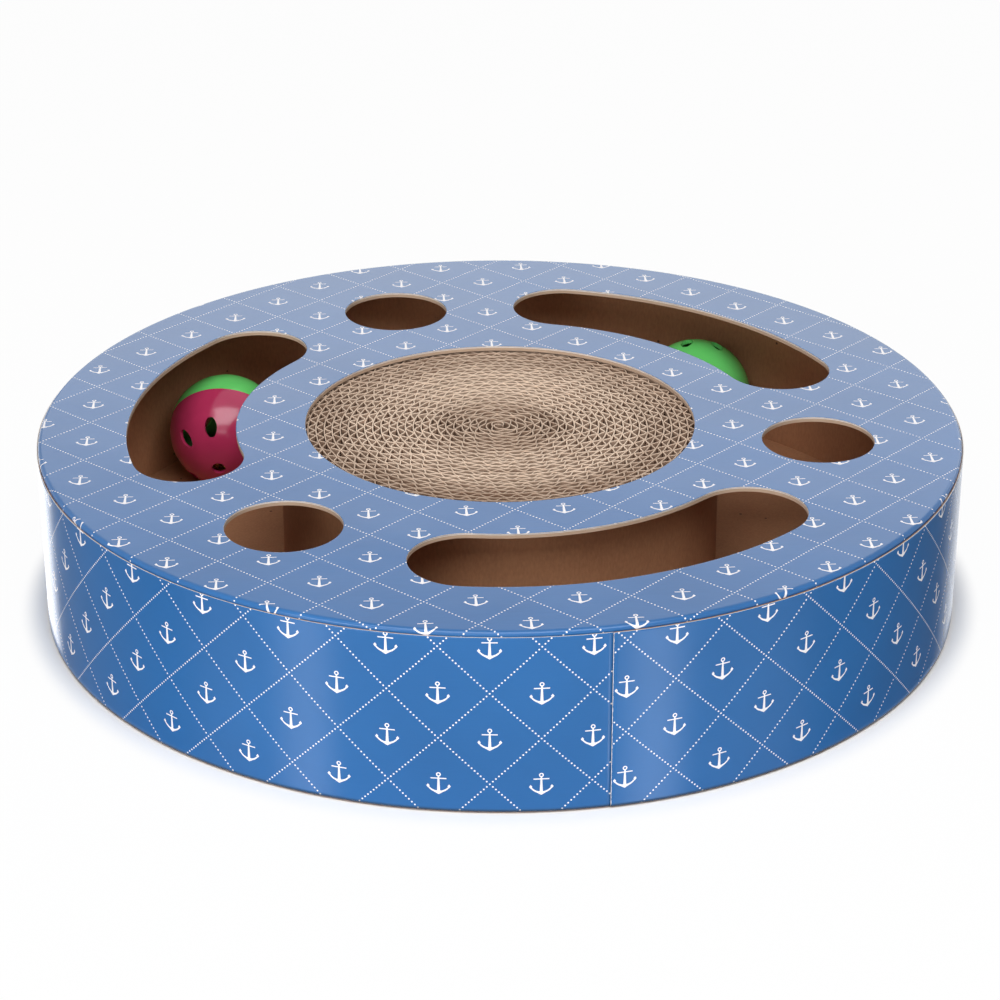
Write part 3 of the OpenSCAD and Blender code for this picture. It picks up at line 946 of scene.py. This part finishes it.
def strip_patch(line, tone, thickness, foot, head):
    """A strip on edge along a line: eight rows, up one face and down the other. Its cut top frays a little
    wider, and its height is uneven. The layer is how pale the paper is: its tone at the cut, and below that
    the faces darken towards the foot as painted shade, lifted by fluff in the paler turns. Each row has a
    height, a width in thicknesses, and shares of tone and fluff."""
    along = np.gradient(line, axis=0)
    along /= np.linalg.norm(along, axis=1)[:, None]
    out = np.stack([along[:, 1], -along[:, 0]], axis=-1)
    count = len(line)
    slow_wear, fine_wear, unworn_tone = 0.4 * MM, 0.2 * MM, 0.4
    top = head - slow_wear * wander(8, count, count // 25) - fine_wear * wander(9, count, count // 4)
    one_side = (
        (foot, 1.0, 0.0, 0.0),
        (top - 1.2 * MM, 1.0, 0.06, 0.3),
        (top - 0.25 * MM, 1.15, 0.25, 0.3),
        (top, 1.4, 1.0, 0.0),
    )
    points, layer = [], []
    for side, rows in ((-1, one_side), (1, one_side[::-1])):
        for z, width, pale, fluff in rows:
            plan = line + side * width * thickness / 2 * out
            points.append(np.column_stack([plan, np.broadcast_to(z, count)]))
            layer.append(pale * (unworn_tone + (1 - unworn_tone) * tone) + fluff * tone)
    rows = len(points)
    faces = [quads(rows, count, wrap_rows=True)]
    for row in range(rows // 2 - 1):
        ends = np.array([row, row + 1, rows - 2 - row, rows - 1 - row]) * count
        faces += [ends[None], ends[None, ::-1] + count - 1]
    return {"points": np.stack(points), "faces": np.concatenate(faces), "layer": np.stack(layer)}


class DRUM_OT_balls(bpy.types.Operator):
    """Plastic finish of the rattle balls' half shells"""

    bl_idname = "drum.balls"
    bl_label = "Rattle balls"

    def execute(self, context):
        finish = context.scene.drum_finish
        pink = moulded_shell("pink_polyethylene", finish.pink, finish.pink_deep)
        green = moulded_shell("green_polyethylene", finish.green, finish.green_deep)
        for ball in BALLS:
            dress_node(f"ball_{ball}_pink_half", pink)
            dress_node(f"ball_{ball}_green_half", green)
        return {"FINISHED"}


class DRUM_OT_bells(bpy.types.Operator):
    """Metal finish of the bells in the balls and of their pellets"""

    bl_idname = "drum.bells"
    bl_label = "Bells"

    def execute(self, context):
        finish = context.scene.drum_finish
        brass = pressed_metal("pressed_brass", finish.brass, 1.2 * MM)
        steel = pressed_metal("tumbled_steel", finish.steel, 0.6 * MM)
        for ball in BALLS:
            for part in ("top", "bottom", "loop"):
                dress_node(f"bell_{ball}_{part}", brass)
            dress_node(f"bell_{ball}_pellet", steel)
        return {"FINISHED"}


# The soft lamps: name, place, width and height in metres, and power in watts
SOFTBOXES = (
    ("key", (0.05, -0.755, 1.12), 1.2, 0.9, 15),
    ("left_fill", (-0.9, -1.3, 0.42), 0.7, 0.7, 7),
    ("front_fill", (-0.2, -1.65, 0.45), 0.7, 0.7, 2),
    ("back", (0.45, 2.0, 0.75), 2.4, 0.7, 7),
)


class DRUM_OT_stage(bpy.types.Operator):
    """Camera, pale floor and soft studio light"""

    bl_idname = "drum.stage"
    bl_label = "Stage"

    def execute(self, context):
        studio = context.scene.drum_studio
        add_camera(context.scene, studio)
        add_floor(studio)
        add_world(context.scene)
        for lamp in SOFTBOXES:
            add_softbox(*lamp)
        # A glowing card seen only in reflections: painted reflection in the wall's film
        add_painted_sheen_card(context.scene.drum_case, studio)
        context.scene.view_settings.view_transform = "Standard"
        return {"FINISHED"}


def add_camera(scene, studio):
    """The camera stands in front of the drum and looks at its middle."""
    data = bpy.data.cameras.new("camera")
    data.lens = studio.lens
    data.sensor_width = 36
    camera = bpy.data.objects.new("camera", data)
    camera.location = (0, -studio.back, studio.up)
    aim = Vector((0, 0, studio.aim)) - camera.location
    camera.rotation_euler = aim.to_track_quat("-Z", "Y").to_euler()
    scene.collection.objects.link(camera)
    scene.camera = camera


def add_floor(studio):
    """A wide flat floor just under the drum: matt and nearly white, so that it keeps a soft shadow.
    Further out, the eye and reflections see it as nearly plain white."""
    half_w, plain_white = 4.0, 0.96
    side = np.array([-half_w, half_w])
    x, y = np.meshgrid(side, side, indexing="ij")
    points = np.dstack([x, y, np.full_like(x, -studio.floor_drop)])
    floor = add_mesh("floor", [{"points": points, "faces": quads(2, 2)}])
    material, tree = blank_material("floor_paint")
    place = add(tree, "ShaderNodeTexCoord").outputs["Object"]
    radius = add(tree, "ShaderNodeVectorMath", {0: place}, operation="LENGTH").outputs["Value"]
    clear = add(
        tree,
        "ShaderNodeMapRange",
        {"Value": radius, "From Min": studio.shade_in, "From Max": studio.shade_out, "To Max": plain_white},
        interpolation_type="SMOOTHSTEP",
    )
    seen = add(tree, "ShaderNodeMath", {0: seen_rays(tree), 1: clear.outputs[0]}, operation="MULTIPLY")
    matt = add(tree, "ShaderNodeBsdfDiffuse", {"Color": tuple(studio.floor)})
    white = add(tree, "ShaderNodeEmission", {"Color": (1, 1, 1, 1), "Strength": 1.0})
    shader = add(tree, "ShaderNodeMixShader", {0: seen.outputs[0], 1: matt.outputs[0], 2: white.outputs[0]})
    floor.data.materials.append(finish_material(material, shader))


def seen_rays(tree):
    """1 for rays from the camera, off gloss and through glass, and 0 for light that falls on things."""
    path = add(tree, "ShaderNodeLightPath")
    gloss = add(
        tree,
        "ShaderNodeMath",
        {0: path.outputs["Is Camera Ray"], 1: path.outputs["Is Glossy Ray"]},
        operation="MAXIMUM",
    )
    glass = add(
        tree,
        "ShaderNodeMath",
        {0: gloss.outputs[0], 1: path.outputs["Is Transmission Ray"]},
        operation="MAXIMUM",
    )
    return glass.outputs[0]


def add_world(scene):
    """White surroundings: plain white to the eye and in reflections, dimmer as light."""
    light = 0.15
    world = bpy.data.worlds.new("studio")
    world.use_nodes = True
    tree = world.node_tree
    tree.nodes.clear()
    strength = add(tree, "ShaderNodeMapRange", {"Value": seen_rays(tree), "To Min": light, "To Max": 1.0})
    sky = add(tree, "ShaderNodeBackground", {"Color": (1, 1, 1, 1), "Strength": strength.outputs[0]})
    add(tree, "ShaderNodeOutputWorld", {"Surface": sky.outputs[0]})
    scene.world = world


def add_softbox(name, place, width, height, power):
    """A soft rectangular lamp that faces the drum."""
    data = bpy.data.lights.new(name, "AREA")
    data.shape = "RECTANGLE"
    data.size, data.size_y = width, height
    data.energy = power
    lamp = bpy.data.objects.new(name, data)
    lamp.location = place
    lamp.rotation_euler = (-lamp.location).to_track_quat("-Z", "Y").to_euler()
    bpy.context.scene.collection.objects.link(lamp)


def ease(value, start, end):
    """0 at the start, 1 at the end and past it, with a cosine's slow ends."""
    return 0.5 - 0.5 * np.cos(np.clip((value - start) / (end - start), 0, 1) * math.pi)


# The glowing card of painted reflection is dim all round, with brighter stretches. Each has its strength and,
# for each of its borders, the angles round the drum at which it starts to rise and is whole.
CARD_DIM = 0.14
CARD_FRONT = (0.75, (-132, -120), (-48, -60))
CARD_LEFT = (0.2, (-125, -145))
CARD_LEFT_BAND = (2.6, (-118, -111.5), (-106.5, -111.5))
CARD_RIGHT_BAND = (3.2, (-79, -73), (-67, -73))
CARD_LEFT_END = (2.2, (-157, -161))
CARD_RIGHT_END = (1.1, (-25, -13))
CARD_COLUMNS = 349


def card_strength(turn):
    """How bright the glowing card of painted reflection is at angles round the drum, in degrees: the sum of
    its stretches, each the product of its borders. It is brightest in two bands, which show as painted
    highlights in the wall's film, and at the ends, where the wall turns from sight."""
    total = np.full(turn.shape, CARD_DIM)
    for stretch in (CARD_FRONT, CARD_LEFT, CARD_LEFT_BAND, CARD_RIGHT_BAND, CARD_LEFT_END, CARD_RIGHT_END):
        strength, *borders = stretch
        total += strength * np.prod([ease(turn, *border) for border in borders], axis=0)
    return total


def add_painted_sheen_card(case, studio):
    """A glowing card over the floor, no lamp, that the camera doesn't see, that lights no matt surface and
    casts no
    shadow: it only shows as painted reflection in the wall's film. Each column starts at the wall's foot and
    runs the way in which the film mirrors the line of sight there, so that its bands stand upright
    in the film: the line's part along the wall is turned round. The layer is the card's strength."""
    gap, lift, depth = 1 * MM, 0.5 * MM, 0.3
    degrees = np.linspace(-177, -3, CARD_COLUMNS)
    turn = np.radians(degrees)
    normal = polar(1, turn)
    foot = (case.drum_r + gap) * normal
    sight = np.array([0, -studio.back]) - foot
    sight /= np.linalg.norm(sight, axis=1)[:, None]
    run = 2 * np.sum(sight * normal, axis=1)[:, None] * normal - sight
    plan = foot + np.array([0, depth])[:, None, None] * run
    rows_columns = plan.shape[:2]
    points = np.dstack([plan, np.full(rows_columns, lift)])
    layer = np.broadcast_to(card_strength(degrees), rows_columns)
    patch = {"points": points, "faces": quads(*rows_columns), "layer": layer}
    card = add_mesh("painted_sheen_card", [patch], GLOW_LAYER)
    material, tree = blank_material("painted_sheen_card")
    glow = add(tree, "ShaderNodeAttribute", attribute_name=GLOW_LAYER).outputs["Fac"]
    light = add(tree, "ShaderNodeEmission", {"Color": (1, 1, 1, 1), "Strength": glow})
    card.data.materials.append(finish_material(material, light))
    card.visible_camera = card.visible_diffuse = card.visible_shadow = card.visible_transmission = False


OPERATORS = (
    DRUM_OT_stage,
    DRUM_OT_boards,
    DRUM_OT_top_sheet,
    DRUM_OT_wall_sheet,
    DRUM_OT_coil,
    DRUM_OT_balls,
    DRUM_OT_bells,
)
GROUPS = {
    "drum_case": DrumCase,
    "drum_print": DrumPrint,
    "drum_coil": DrumCoil,
    "drum_finish": DrumFinish,
    "drum_studio": DrumStudio,
}


class DRUM_PT_panel(bpy.types.Panel):
    """The drum's pieces and their sizes and colours"""

    bl_label = "Cat scratching drum"
    bl_idname = "DRUM_PT_panel"
    bl_space_type = "VIEW_3D"
    bl_region_type = "UI"
    bl_category = "Drum"

    def draw(self, context):
        for operator in OPERATORS:
            self.layout.operator(operator.bl_idname)
        for group, kind in GROUPS.items():
            box = self.layout.box()
            box.label(text=kind.__doc__)
            for name in kind.__annotations__:
                box.prop(getattr(context.scene, group), name)


def register():
    for kind in (*GROUPS.values(), *OPERATORS, DRUM_PT_panel):
        bpy.utils.register_class(kind)
    for group, kind in GROUPS.items():
        setattr(bpy.types.Scene, group, PointerProperty(type=kind))


def unregister():
    for group in GROUPS:
        delattr(bpy.types.Scene, group)
    for kind in reversed((*GROUPS.values(), *OPERATORS, DRUM_PT_panel)):
        bpy.utils.unregister_class(kind)


def main():
    register()
    bpy.ops.drum.stage()
    bpy.ops.drum.boards()
    bpy.ops.drum.top_sheet()
    bpy.ops.drum.wall_sheet()
    bpy.ops.drum.coil()
    bpy.ops.drum.balls()
    bpy.ops.drum.bells()


if __name__ == "__main__":
    main()
